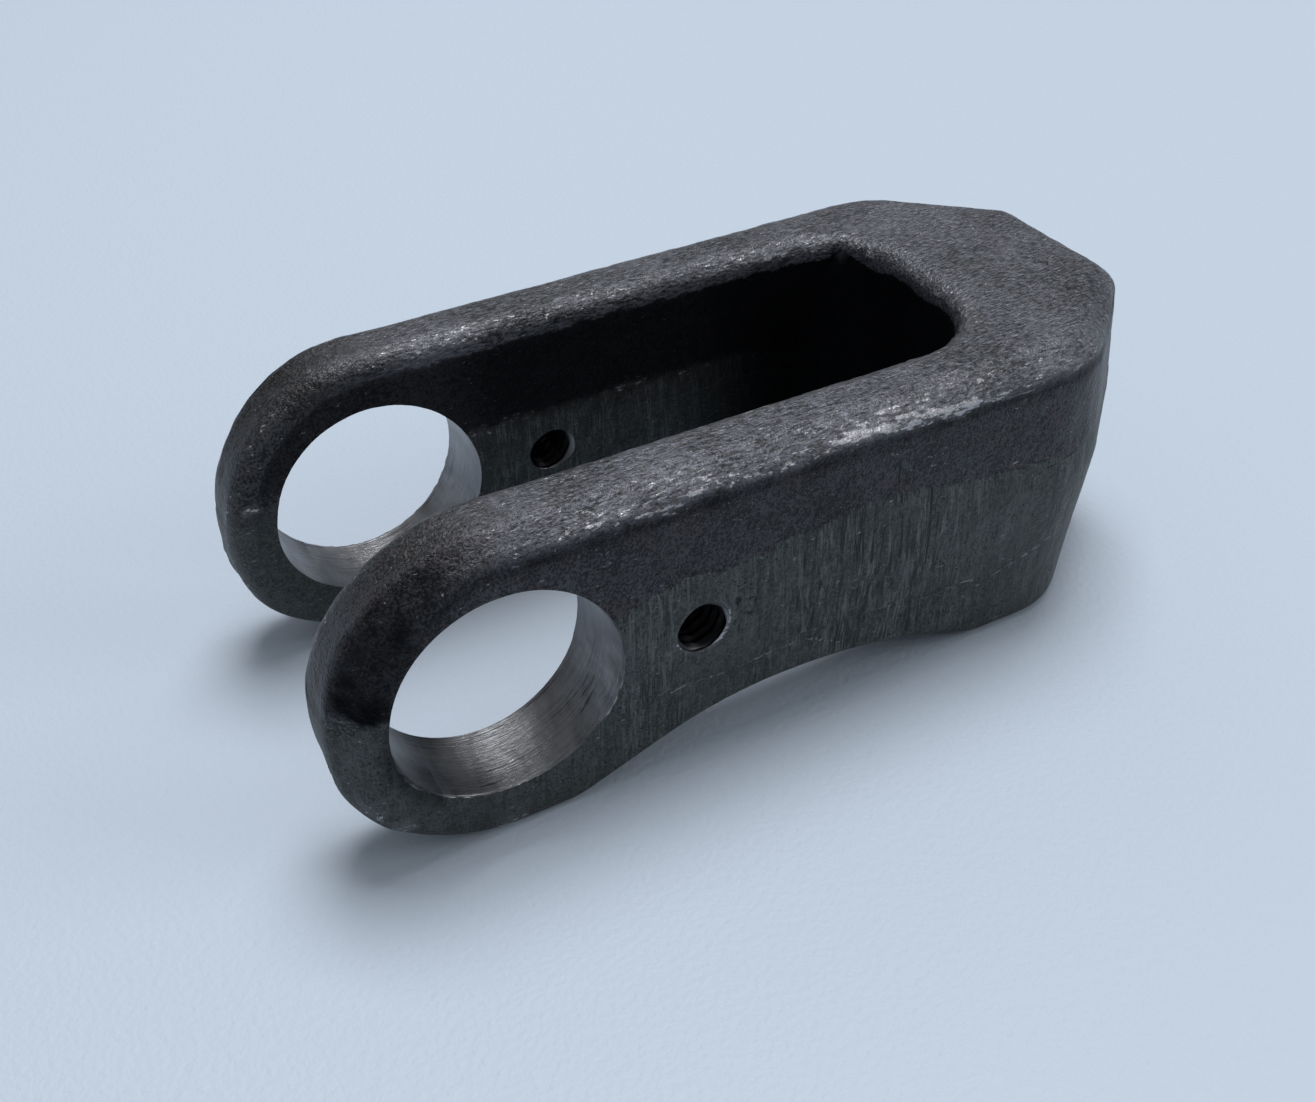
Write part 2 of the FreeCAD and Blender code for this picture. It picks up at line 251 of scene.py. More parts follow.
def rounded(corners, radii, side, spacing=0.0001):
    """A plan outline with rounded corners: evenly spaced points and outward normals.

    An arc touches both lines of its corner, so its centre lies on the bisector
    at radius / sin(half angle).  side is +1 where the steel is on the arc's
    centre side and -1 where the arc's centre is in the open.
    """
    points, normals = [], []
    for i, radius in enumerate(radii, start=1):
        a = (corners[i - 1] - corners[i]) / np.linalg.norm(corners[i - 1] - corners[i])
        b = (corners[i + 1] - corners[i]) / np.linalg.norm(corners[i + 1] - corners[i])
        half = math.acos(a @ b) / 2
        centre = corners[i] + (a + b) / np.linalg.norm(a + b) * radius / math.sin(half)
        ends = corners[i] + np.stack([a, b]) * radius / math.tan(half) - centre
        t = np.linspace(0.0, 1.0, ARC_POINTS)[:, None]
        spoke = ends[:1] * (1 - t) + ends[1:] * t
        spoke /= np.linalg.norm(spoke, axis=1, keepdims=True)
        points.append(centre + spoke * radius)
        normals.append(spoke * side)
    points = np.vstack([corners[:1], *points, corners[-1:]])
    normals = np.vstack([normals[0][:1], *normals, normals[-1][-1:]])
    steps = np.linalg.norm(np.diff(points, axis=0), axis=1)
    along = np.concatenate([[0.0], np.cumsum(steps)])
    s = np.linspace(0.0, along[-1], int(along[-1] / spacing))
    columns = [np.interp(s, along, v) for v in (*points.T, *normals.T)]
    turn = np.stack(columns[2:], axis=1)
    return np.stack(columns[:2], axis=1), turn / np.linalg.norm(turn, axis=1, keepdims=True)


class Plan:
    """The forging's two outlines in plan, looked up by place along the U."""

    def __init__(self, form):
        half, slot, x = form.half_width, form.slot_half, form.eye_pos
        rear, bend, end = form.rear_pos, form.bend_pos, form.slot_end
        self.hub = np.array([end - HUB_BACK, 0.0])
        self.sides = half, slot
        outer = [[x, -half], [bend, -half], [rear, -form.rear_half],
                 [rear, form.rear_half], [bend, half], [x, half]]
        inner = [[x, -slot], [end, -slot], [end, slot], [x, slot]]
        bends = [form.bend_radius, form.rear_radius]
        self.outer = rounded(np.array(outer), bends + bends[::-1], 1)
        self.inner = rounded(np.array(inner), [form.slot_corner] * 2, -1)

    def at(self, x, y):
        """Outer point and normal, inner point and normal, level with each (x, y).

        In front of the hub the outlines are straight and are met square.  Past
        the hub they are met by the ray from the hub through (x, y).
        """
        angle = np.arctan2(y - self.hub[1], x - self.hub[0])
        ahead = x <= self.hub[0]
        side = np.where(y < 0, -1.0, 1.0)
        found = []
        for (points, normals), half, facing in zip((self.outer, self.inner), self.sides,
                                                   (1.0, -1.0)):
            bearing = np.arctan2(points[:, 1] - self.hub[1], points[:, 0] - self.hub[0])
            px, py, nx, ny = (np.interp(angle, bearing, v) for v in (*points.T, *normals.T))
            size = np.hypot(nx, ny)
            found.append(np.stack([np.where(ahead, x, px),
                                   np.where(ahead, side * half, py)], axis=1))
            found.append(np.stack([np.where(ahead, 0.0, nx / size),
                                   np.where(ahead, side * facing, ny / size)], axis=1))
        return found


def soft_floor(value, floor, softness):
    """The larger of value and floor, rounded: floor + s log(1 + e^((v - f) / s))."""
    return floor + softness * np.logaddexp(0.0, (value - floor) / softness)


def underside(x):
    """Depth of the underside below the pin axis at x, both in metres.

    A flat pad under the eye, a slope of 20 degrees, two arcs of 50 and 64 mm
    radius that meet at the top of the arch, and the flat foot of the rear block.
    """
    x = x / MM
    top, high, slant, pad, foot = 34.0, -12.6, math.radians(20), -19.1, -18.0
    front, back = (high - radius + np.sqrt(np.maximum(radius ** 2 - (x - top) ** 2, 0))
                   for radius in (50, 64))
    start = top - 50 * math.sin(slant)
    slope = high - 50 * (1 - math.cos(slant)) + (x - start) * math.tan(slant)
    arch = np.where(x < start, slope, np.where(x < top, front, back))
    return -MM * np.where(x < 20, soft_floor(arch, pad, 0.15), soft_floor(arch, foot, 0.25))


def eye_reach(form, angle):
    """Distance from the eye's centre to its rim at each angle from +X, in side view.

    A circle that the trimming left a little full below the nose: the radius
    plus a bell of the angle.
    """
    return form.eye_radius + form.full * bell(angle, math.radians(210), 0.30)


def rim_round(form, angle):
    """Round of the outer rim at each angle from +X: half as large again at the nose."""
    return form.top_outer * (1.0 + 0.5 * smooth(1.8, 2.9, angle % (2 * math.pi)))


def lean(form, z, draft):
    """How far a drafted wall has come in at height z."""
    return math.tan(draft) * np.abs(z - form.parting)


def tail_lean(form, x, z):
    """How much further the lower half of the rear has come in: its draft is larger."""
    more = math.tan(form.draft_tail) - math.tan(form.draft_outside)
    return more * smooth(66 * MM, 80 * MM, x) * np.maximum(form.parting - z, 0.0)


def half_sections(form, plan_points, angle, reach, radii):
    """Points of half sections, from the middle of the outer side to the middle of the slot.

    A half section climbs the outer wall in its own direction, the angle from +X
    in side view, turns a quarter round over the rim, crosses the face, and
    comes back down the slot's wall.  The walls lean by their draft.
    """
    outer, outer_out, inner, inner_out = plan_points
    sides = []
    for base, out, draft, tail, radius, (wall, rim) in (
            (outer, outer_out, form.draft_outside, 1.0, radii[0], SIDE_STEPS),
            (inner, inner_out, form.draft_slot, 0.0, radii[1], SLOT_STEPS)):
        straight = np.linspace(0.0, 1.0, wall + 1) * (reach - radius)[:, None]
        turn = np.linspace(0.0, math.pi / 2, rim + 1)[1:]
        over = (reach - radius)[:, None] + radius[:, None] * np.sin(turn)
        far = np.concatenate([straight, over], axis=1)
        foot = np.minimum(far, (reach - radius)[:, None])
        height = foot * np.sin(angle)[:, None]
        inwards = lean(form, height, draft) + tail * tail_lean(form, base[:, :1], height)
        inwards[:, wall + 1:] += radius[:, None] * (1.0 - np.cos(turn))
        place = base[:, None, :] - out[:, None, :] * inwards[:, :, None]
        sides.append(np.dstack([place[:, :, 0] + far * np.cos(angle)[:, None],
                                place[:, :, 1], far * np.sin(angle)[:, None]]))
    side, slot = sides
    t = np.linspace(0.0, 1.0, FACE_STEPS + 1)[1:-1, None]
    face = side[:, -1:, :] * (1 - t) + slot[:, -1:, :] * t
    return np.concatenate([side, face, slot[:, ::-1, :]], axis=1)


def forging(form):
    """The whole forging before it is bored, as vertices and four-sided faces.

    Half sections are carried round a closed path: over the top from the near
    eye to the far one, down round the far eye's nose, back along the underside,
    and up round the near eye's nose.  On the underside the heights are stretched
    so that the face follows the arch.
    """
    plan = Plan(form)
    reach = plan.hub[0] - form.eye_pos
    arm = np.linspace(form.eye_pos, plan.hub[0], round(reach / form.spacing))[:-1]
    turn = np.linspace(-math.pi / 2, math.pi / 2, round(END_PATH / form.spacing))
    x = np.concatenate([arm, plan.hub[0] + np.cos(turn) * MM, arm[::-1]])
    y = np.concatenate([arm * 0 - 1.0, np.sin(turn) * MM, arm * 0 + 1.0])
    ones = np.ones_like(x)
    stations = plan.at(x, y)

    top = half_sections(form, stations, ones * math.pi / 2, ones * form.eye_radius,
                        (ones * form.top_outer, ones * form.top_inner))
    low = half_sections(form, stations, ones * -math.pi / 2, ones * form.eye_radius,
                        (ones * form.low_outer, ones * form.low_inner))
    height, kept = -low[:, :, 2], form.eye_radius - RIM_ZONE
    below = underside(low[:, :, 0])
    low[:, :, 2] = -np.where(height > kept, below - form.eye_radius + height,
                             height * (below - RIM_ZONE) / kept)

    angle = np.linspace(math.pi / 2, 1.5 * math.pi, EYE_STEPS + 1)[1:-1]
    reach = eye_reach(form, angle)
    under, inner_under = smooth(3.25, 3.85, angle), smooth(4.0, 4.75, angle)
    outer = rim_round(form, angle)
    inner = form.top_inner + (NOSE_INNER - form.top_inner) * under
    radii = (outer + (form.low_outer - outer) * under,
             inner + (form.low_inner - inner) * inner_under)
    eyes = []
    ones, zero = np.ones_like(angle), np.zeros_like(angle)
    for side in (-1.0, 1.0):
        eye = [np.stack(pair, axis=1) for pair in (
            (ones * form.eye_pos, ones * side * form.half_width), (zero, ones * side),
            (ones * form.eye_pos, ones * side * form.slot_half), (zero, -ones * side))]
        eyes.append(half_sections(form, eye, angle, reach, radii))
    grid = np.concatenate([top, eyes[1], low[::-1], eyes[0][::-1]])

    rows, columns = grid.shape[:2]
    index = np.arange(rows * columns).reshape(rows, columns)
    after = np.roll(index, -1, axis=0)
    faces = np.stack([index[:, :-1], index[:, 1:], after[:, 1:], after[:, :-1]], axis=-1)
    return grid.reshape(-1, 3), faces.reshape(-1, 4)


# ------------------------ the skin

# Edges of the sheared band on the outer sides, x and z in millimetres.
BAND_LOW = ((-20, -8.0), (10.8, -7.5), (14.8, -8.6), (17.6, -7.3), (22.3, -7.3), (28, -6.8),
            (33.7, -6.5), (46.1, -7.2), (54.4, -7.6), (59.6, -8.2), (65.1, -7.1), (68.1, -6.3),
            (70.6, -6.1), (90, -6.3))
BAND_HIGH = ((-20, 2.6), (8, 4.6), (19.5, 7.2), (24.5, 6.8), (30, 6.9), (32.5, 7.9),
             (35.1, 7.7), (41.6, 8.8), (44.8, 8.6), (48.8, 8.1), (57.8, 6.5), (64.1, 5.8),
             (71, 5.4), (72.7, 5.8), (90, 5.0))
SLOT_BAND_HIGH = ((-20, 4.0), (19, 6.0), (49, 6.0), (58, 2.6), (70, 2.6))


def stored_distance(distance):
    """A signed distance as the material reads it: 0.5 at 0, and 0 and 1 at 2 mm each way."""
    return np.clip(0.5 + distance / (4 * MM), 0.0, 1.0)


def curve(pairs, x):
    """A line through (x, z) pairs in millimetres, at x in metres."""
    xs, zs = zip(*pairs)
    return np.interp(x / MM, xs, zs) * MM


class Skin:
    """Where each point lies on the forging, and the marks that its skin has there.

    side and slot are the distances inwards from the outer wall and the slot's
    wall; face is the distance inwards from the top, the underside or the eye's
    round.
    """

    def __init__(self, form, points):
        self.form, self.points = form, points
        x, y, z = points.T
        outer, outer_out, inner, inner_out = Plan(form).at(x, y)
        flat = points[:, :2]
        self.side = ((outer - flat) * outer_out).sum(axis=1)
        self.slot = ((inner - flat) * inner_out).sum(axis=1)
        self.side_lean = lean(form, z, form.draft_outside) + tail_lean(form, x, z)
        front = x < form.eye_pos
        radial = np.hypot(x - form.eye_pos, z)
        reach = eye_reach(form, np.arctan2(z, x - form.eye_pos) % (2 * math.pi))
        level = np.where(z > 0, form.eye_radius - z, underside(x) + z)
        self.face = np.where(front, reach - radial, level)
        self.upper = z > form.parting

    def noise(self, size, seed, layers=1):
        """Layered value noise with cells of the given size in mm."""
        return layered(self.points, np.asarray(size) * MM, layers, seed)

    def bands(self):
        """How far each point is inside the sheared bands, in metres, below 0 outside.

        Returns the distance for the outer sides' band, for what lies below its
        upper edge, and for the band in the slot.
        """
        x, _, z = self.points.T
        high, low = curve(BAND_HIGH, x), curve(BAND_LOW, x)
        off_side = 3 * MM * smooth(1.2 * MM, 2.0 * MM, self.side - self.side_lean)
        in_slot = curve(SLOT_BAND_HIGH, x) - z
        off_slot = 3 * MM * smooth(2.0 * MM, 2.8 * MM, self.slot)
        return np.minimum(high - z, z - low) - off_side, high - z, in_slot - off_slot

    def shade_mask(self, holes):
        """Painted shade: black in the slot, in a line under the crests, on the steep fronts of
        the eyes and in the tapped holes.

        The second array is the signed distance below the painted shade's edge in the slot,
        ready to be stored; it is 1 where the shade is painted for the crests, the eyes or the
        holes.
        """
        x, y, z = self.points.T
        (outer, near_outer), _ = self.turns()

        # The slot's wall: painted shade, darker towards the closed end, lighter on the band.
        inwards = smooth(4 * MM, 20 * MM, x)
        on_band = smooth(6.5 * MM, 4.5 * MM, z) * smooth(56 * MM, 34 * MM, x)
        slot = 0.55 + 0.28 * inwards + 0.12 * smooth(40 * MM, 52 * MM, x)
        slot -= on_band * (0.45 + 0.15 * inwards)
        slot *= smooth(2.8 * MM, 1.9 * MM, self.slot)
        notch = np.exp(-((x - 62.6 * MM) ** 2 + (y - 11.6 * MM) ** 2) / (1.3 * MM) ** 2)
        brink = self.face + 0.30 * MM * self.noise((2.5, 2.5, 30), 84, 3) + 1.9 * MM * notch

        # A painted shadow line under the crest, and painted shade on the steep rim on the
        # fronts of the eyes.
        under = bell(outer, 0.16, 0.18) * near_outer * (0.45 + 0.3 * self.noise(4.0, 83, 2))
        foot = 2.6 * MM - 0.25 * np.minimum(x + 12 * MM, 0) + 0.7 * MM * self.noise(3.0, 86, 2)
        bevel = smooth(-0.2, 0.45, outer) * smooth(1.16, 1.08, outer) * near_outer
        bevel *= smooth(1 * MM, -11 * MM, x) * smooth(foot - 0.25 * MM, foot + 0.25 * MM, z)
        bevel *= 0.62 + 0.4 * bell(z, 3.5 * MM, 4 * MM) + 0.4 * self.noise((2, 2, 2), 85, 3)

        # Painted shade in the tapped holes, past their mouths.
        off = np.hypot(x - holes.hole_pos, z)
        depth = np.minimum(self.side, self.slot)
        bores = (off < 3.4 * MM) * smooth(0.3 * MM, 1.0 * MM, depth)

        others = np.stack([under, 0.85 * bevel, 0.97 * bores]).max(axis=0)
        painted_shade = np.clip(np.maximum(slot, others), 0.0, 0.97)
        return painted_shade, np.where(slot > others, stored_distance(brink - 3.0 * MM), 1.0)

    def lines(self, paths, width):
        """1 on the near side's drawn lines, falling to 0 at the given width beside them."""
        spot = self.points[:, [0, 2]]
        nearest = np.full(len(spot), 1.0)
        for path in paths:
            path = np.array(path) * MM
            for a, b in zip(path[:-1], path[1:]):
                along = np.clip((spot - a) @ (b - a) / ((b - a) @ (b - a)), 0.0, 1.0)
                off = np.linalg.norm(spot - a - along[:, None] * (b - a), axis=1)
                nearest = np.minimum(nearest, off)
        there = (self.points[:, 1] < 0) & (self.side < 3 * MM)
        return np.clip(1.0 - nearest / width, 0.0, 1.0) * there

    def turns(self):
        """Angle round each upper rim, 0 at the wall and a quarter turn at the top.

        Returns (angle, nearness) for the outer rim and for the slot's rim.
        """
        found = []
        x, _, z = self.points.T
        front = rim_round(self.form, np.arctan2(z, x - self.form.eye_pos))
        for inwards, radius in ((self.side - self.side_lean, front),
                                (self.slot - 1.2 * MM, self.form.top_inner)):
            across, rise = radius - inwards, radius - self.face
            near = smooth(radius * 1.25, radius * 0.9, np.maximum(inwards, self.face))
            angle = np.arctan2(np.maximum(rise, 1e-6), np.maximum(across, 1e-6))
            found.append((angle, near * (self.upper | (x < -8 * MM))))
        return found

    def crests(self, holes):
        """How worn each point is, partly wear and partly painted highlight: rims, holes'
        mouths, the eyes' lower edges and the flash line in the slot. The outer crest is painted
        where its highlight falls, twice as strong on the near side.
        """
        x, _, z = self.points.T
        (outer, near_outer), (inner, near_inner) = self.turns()
        wander = 0.16 * self.noise((6, 6, 6), 65, 2)
        patchy = 0.62 + 0.5 * self.noise((7, 7, 9), 66, 2)
        arms = smooth(-8 * MM, 14 * MM, x) * (0.35 + 0.65 * smooth(82 * MM, 64 * MM, x))
        crest = bell(outer, 0.50 + wander, 0.13) + 0.40 * bell(outer, 0.85 - wander, 0.26)
        crest *= near_outer * patchy * arms * (0.5 + 0.5 * (self.points[:, 1] < 0))
        lip = bell(inner, 0.95 + wander, 0.45) * near_inner * patchy * 0.35
        brow = curve(SLOT_BAND_HIGH, x)
        flash = bell(z, brow, 0.6 * MM) * smooth(0.15, 0.5, self.noise((2.2, 9, 1.2), 67, 2))
        flash *= smooth(2.2 * MM, 1.4 * MM, self.slot) * smooth(60 * MM, 40 * MM, x)
        chipped = bell(self.side + 0.6 * self.face, 1.4 * MM, 0.9 * MM) * (x < 6 * MM)
        chipped *= smooth(0.1, 0.5, self.noise((3, 3, 3), 68, 2)) * (z < -4 * MM)
        off = np.hypot(x - holes.hole_pos, z)
        mouth = smooth(3.6 * MM, 3.0 * MM, off) * (self.side < 0.8 * MM)
        mouth *= 0.75 + 0.4 * self.noise((2, 2, 2), 69)
        return np.clip(np.stack([crest, lip, 0.6 * flash, 0.6 * chipped, mouth]).max(axis=0),
                       0, 1)

    def height(self, marks):
        """How far the skin stands out from the die's smooth form."""
        x = self.points[:, 0]
        in_band, _, in_slot = self.bands()

        # Orange peel, long waves, and the sheared band's step.
        band = smooth(-0.3 * MM, 0.3 * MM, np.maximum(in_band, in_slot))
        rise = (1.0 - 0.7 * band) * self.noise(1.5, 21, 2) * marks.peel
        rise += 0.4 * marks.swell * self.noise((12, 12, 9), 31, 2)
        flush = smooth(-0.3 * MM, 0.3 * MM, in_band) * smooth(62 * MM, 50 * MM, x)
        rise += flush * self.side_lean * 0.3
        rise += marks.band_step * (band - 1.0)

        # Crests of the outer rim, which are sharper on the fronts of the eyes.
        (outer, near_outer), (inner, near_inner) = self.turns()
        front = smooth(6 * MM, -10 * MM, x)
        wander = 0.10 * self.noise((5, 5, 5), 65, 2)
        ridge = bell(outer, 0.46 + wander, 0.22) * (1.0 - 0.5 * front)
        ridge += bell(outer, 1.14 + 0.4 * wander, 0.17) * (0.25 + 1.9 * front)
        ridge -= 0.35 * bell(outer, 0.10 + wander, 0.16) + 0.25 * bell(outer, 0.78, 0.2)
        rise += marks.ridge * ridge * near_outer
        rise += bell(outer, 0.5, 0.25) * near_outer * 0.09 * MM * self.noise((4, 4, 1.6), 61, 3)

        # The slot's rim, torn at its closed end.
        closed_end = smooth(38 * MM, 50 * MM, x)
        lip = bell(inner, 0.25, 0.30) * near_inner
        rise += marks.ridge * 0.7 * lip * (0.4 + 0.6 * closed_end)
        rise += marks.tear * lip * (0.2 + 0.8 * closed_end) * (self.noise(1.8, 51, 3) - 0.1)

        for *place, radius, depth in PITS:
            off = np.linalg.norm(self.points - np.array(place) * MM, axis=1) / (radius * MM)
            rise -= depth * MM * np.exp(-off ** 2)
        return rise


# Single pits, and one torn notch in the slot's rim: x, y, z, radius and depth in mm.
PITS = (
    (26.0, -24.5, 2.2, 0.5, 0.25), (27.6, -24.5, -0.3, 0.5, 0.22),
    (18.5, -24.4, -12.2, 0.6, 0.25), (54.6, -24.2, 7.2, 0.5, 0.22),
    (59.5, -24.2, 6.3, 0.6, 0.25), (62.5, -24.3, 3.2, 0.4, 0.2),
    (62.6, 11.6, 16.6, 1.5, 1.1), (64.2, 9.6, 17.2, 0.8, 0.5), (62.6, -13.0, 17.6, 1.0, 0.6),
)

# Lines on the near side, x and z in mm: cracks and drag marks, and raised seams.
CRACKS = (
    ((65.9, 4.5), (69.2, 5.2), (72.8, 5.7)),
    ((46.4, 12.7), (46.6, 6.2), (47.1, 5.0), (46.9, -0.2)),
    ((50.7, 7.8), (50.5, -7.6)), ((43.4, 6.9), (43.0, 0.3)),
    ((34.6, 6.6), (33.4, -4.8)), ((37.0, 3.7), (35.8, -5.8)),
    ((26.0, 2.4), (28.3, 1.8), (28.0, -0.5), (26.6, 0.2), (26.0, 2.4)),
)
SEAMS = (
    ((44.0, -7.2), (46.8, -7.7), (51.8, -8.7), (57.2, -8.3), (60.7, -9.2), (65.6, -7.9),
     (70.5, -6.4)),
    ((14.2, -8.9), (17.0, -8.2), (20.3, -7.7), (25.5, -8.2), (31.4, -7.7), (35.4, -7.7),
     (40.3, -10.6)),
    ((57.0, 16.0), (62.8, 15.8), (66.0, 16.2), (69.2, 16.3), (73.0, 16.8)),
)


# ------------------------ holes

def turned(rows):
    """A closed spindle along Y: rows of (y, radius per angle), with flat ends."""
    y = np.array([row[0] for row in rows])
    radius = np.stack([row[1] for row in rows])
    around = radius.shape[1]
    angle = np.linspace(0.0, 2 * math.pi, around, endpoint=False)
    points = np.dstack([radius * np.cos(angle), np.repeat(y[:, None], around, axis=1),
                        radius * np.sin(angle)]).reshape(-1, 3)
    index = np.arange(len(points)).reshape(radius.shape)
    turn = np.roll(index, -1, axis=1)
    walls = np.stack([index[:-1], index[1:], turn[1:], turn[:-1]], axis=-1).reshape(-1, 4)
    caps = [index[0].tolist(), index[-1, ::-1].tolist()]
    return points, walls.tolist() + caps


def pin_cutter(form, holes):
    """The pin bore as a solid: a cylinder with a broken edge at each arm's outer mouth.

    The edge follows the drafted face: the radius grows with the distance from
    a little inside the face outwards, and its lower half is frayed.  A shallow
    groove runs round the bottom of the near arm's mouth.
    """
    around = 256
    angle = np.linspace(0.0, 2 * math.pi, around, endpoint=False)
    ring = np.stack([np.cos(angle), np.sin(angle), angle * 0], axis=1) * holes.bore_radius
    mouth = form.half_width - lean(form, ring[:, 1], form.draft_outside)
    lower, bottom = smooth(0.3, -0.4, np.sin(angle)), smooth(-0.4, -0.9, np.sin(angle))
    lip = np.arange(22.6, 25.01, 0.12) * MM
    end = form.half_width + 1.5 * MM
    y = np.concatenate([[-end], -lip[::-1], np.linspace(-22, 22, 60) * MM, lip, [end]])
    slope = holes.break_edge / holes.break_depth
    rows = []
    for at in y:
        fray = 1.0 + 0.7 * layered(ring + [0, 0, at * 200], 0.9 * MM, 2, 71) * lower
        edge = np.clip(abs(at) - mouth + holes.break_depth, 0.0, 0.5 * MM) * fray
        groove = bell(at, 2.3 * MM - mouth, 0.22 * MM) * bottom
        rows.append((at, holes.bore_radius + slope * edge + holes.groove * groove))
    return turned(rows)


def thread_cutter(form, holes):
    """The tapped cross hole as a solid.

    Its radius is the crest's plus a rounded vee of the thread's depth, whose
    phase is distance / pitch - angle / 360 degrees.  Both mouths are countersunk
    a little.
    """
    around = 48
    angle = np.linspace(0.0, 1.0, around, endpoint=False)
    mouth, inner = form.half_width + 1.0 * MM, form.slot_half - 1.0 * MM
    step = holes.thread_pitch / 8
    rows = []
    for at in np.arange(-mouth, mouth + step / 2, step):
        if abs(at) < inner - step and abs(at) % (4 * MM) > step:
            continue            # fewer rows in the empty slot
        phase = (at / holes.thread_pitch - angle) % 1.0
        vee = np.clip(1.25 - 2.5 * np.abs(phase - 0.5), 0.0, 1.0)
        mouth_off = min(abs(abs(at) - (form.half_width - 0.1 * MM)),
                        abs(abs(at) - (form.slot_half + 0.2 * MM)))
        sink = 0.25 * MM * max(0.0, 1.0 - mouth_off / (0.8 * MM))
        rows.append((at, holes.hole_radius + holes.thread_depth * vee + sink))
    points, faces = turned(rows)
    points[:, 0] += holes.hole_pos
    return points, faces


def machined_faces(mesh, holes):
    """1 for each face that a tool has cut: close to a hole's axis and facing it."""
    count = len(mesh.polygons)
    centre, normal = np.empty(count * 3), np.empty(count * 3)
    mesh.polygons.foreach_get("center", centre)
    mesh.polygons.foreach_get("normal", normal)
    centre, normal = centre.reshape(-1, 3), normal.reshape(-1, 3)
    cut = np.zeros(count)
    for x, reach in ((0.0, holes.bore_radius + 0.4 * MM), (holes.hole_pos, 3.6 * MM)):
        away = centre[:, [0, 2]] - [x, 0.0]
        radius = np.linalg.norm(away, axis=1)
        towards = -(normal[:, [0, 2]] * away).sum(axis=1) / np.maximum(radius, 1e-9)
        cut = np.maximum(cut, (radius < reach) & (towards > 0.3))
    return cut.astype(np.float32)


# ------------------------ meshes

FEWEST_FACES = 1000             # a cut that leaves fewer has failed


def new_piece(name, points, faces):
    """A mesh object at the origin from points and faces."""
    mesh = bpy.data.meshes.new(name)
    corners = faces if isinstance(faces, list) else faces.tolist()
    mesh.from_pydata(np.asarray(points).tolist(), [], corners)
    piece = bpy.data.objects.new(name, mesh)
    bpy.context.scene.collection.objects.link(piece)
    return piece


def welded(piece, distance):
    """Merge a piece's doubles and turn its faces outwards."""
    work = bmesh.new()
    work.from_mesh(piece.data)
    bmesh.ops.remove_doubles(work, verts=work.verts, dist=distance)
    bmesh.ops.dissolve_degenerate(work, edges=work.edges, dist=distance)
    bmesh.ops.recalc_face_normals(work, faces=work.faces)
    work.to_mesh(piece.data)
    work.free()


def vertex_arrays(mesh):
    """Places and normals of a mesh's vertices, one row each."""
    points, normals = (np.empty(len(mesh.vertices) * 3) for _ in range(2))
    mesh.vertices.foreach_get("co", points)
    mesh.vertex_normals.foreach_get("vector", normals)
    return points.reshape(-1, 3), normals.reshape(-1, 3)


def inside_box(points):
    """Points pulled back into the frame's box."""
    return np.clip(points, np.array(CAD_BOX[0]), np.array(CAD_BOX[1]))


def write_points(mesh, points):
    """Move a mesh's vertices to the given places."""
    mesh.vertices.foreach_set("co", points.astype(np.float32).ravel())
    mesh.update()


def paint(mesh, name, values, domain="POINT"):
    """Store one number per vertex or face under a name that a material reads."""
    layer = mesh.attributes.new(name, "FLOAT", domain)
    layer.data.foreach_set("value", np.asarray(values, dtype=np.float32))


def cut_out(piece, cutters):
    """Take solid cutters out of a piece, and keep the result as the piece's mesh."""
    for cutter in cutters:
        change = piece.modifiers.new("cut", "BOOLEAN")
        change.operation, change.solver, change.object = "DIFFERENCE", "MANIFOLD", cutter
    graph = bpy.context.evaluated_depsgraph_get()
    mesh = bpy.data.meshes.new_from_object(piece.evaluated_get(graph))
    piece.modifiers.clear()
    piece.data = mesh
    for cutter in cutters:
        bpy.data.objects.remove(cutter)
    if len(mesh.polygons) < FEWEST_FACES:
        raise RuntimeError("the holes could not be cut")


# ------------------------ materials

class Wire:
    """A number's socket with Python's arithmetic: each operator adds its Math node."""

    def __init__(self, paint_box, socket):
        self.box, self.socket = paint_box, socket

    def math(self, operation, *others, clamp=False):
        """One Math node with this number as its first input."""
        return self.box.node("ShaderNodeMath", {"operation": operation, "use_clamp": clamp},
                             self, *others)

    def __add__(self, other):
        return self.math("ADD", other)

    def __sub__(self, other):
        return self.math("SUBTRACT", other)

    def __mul__(self, other):
        return self.math("MULTIPLY", other)

    def __rsub__(self, other):
        return self.box.node("ShaderNodeMath", {"operation": "SUBTRACT"}, other, self)

    __radd__, __rmul__ = __add__, __mul__

    def __neg__(self):
        return self.math("MULTIPLY", -1.0)

    def step(self, low, high):
        """0 below low, 1 above high, with a smooth change between them."""
        return self.box.node("ShaderNodeMapRange", {"interpolation_type": "SMOOTHSTEP"},
                             Value=self, **{"From Min": low, "From Max": high})

    def clamp(self):
        """The number kept within 0 and 1."""
        return self.math("ADD", 0.0, clamp=True)


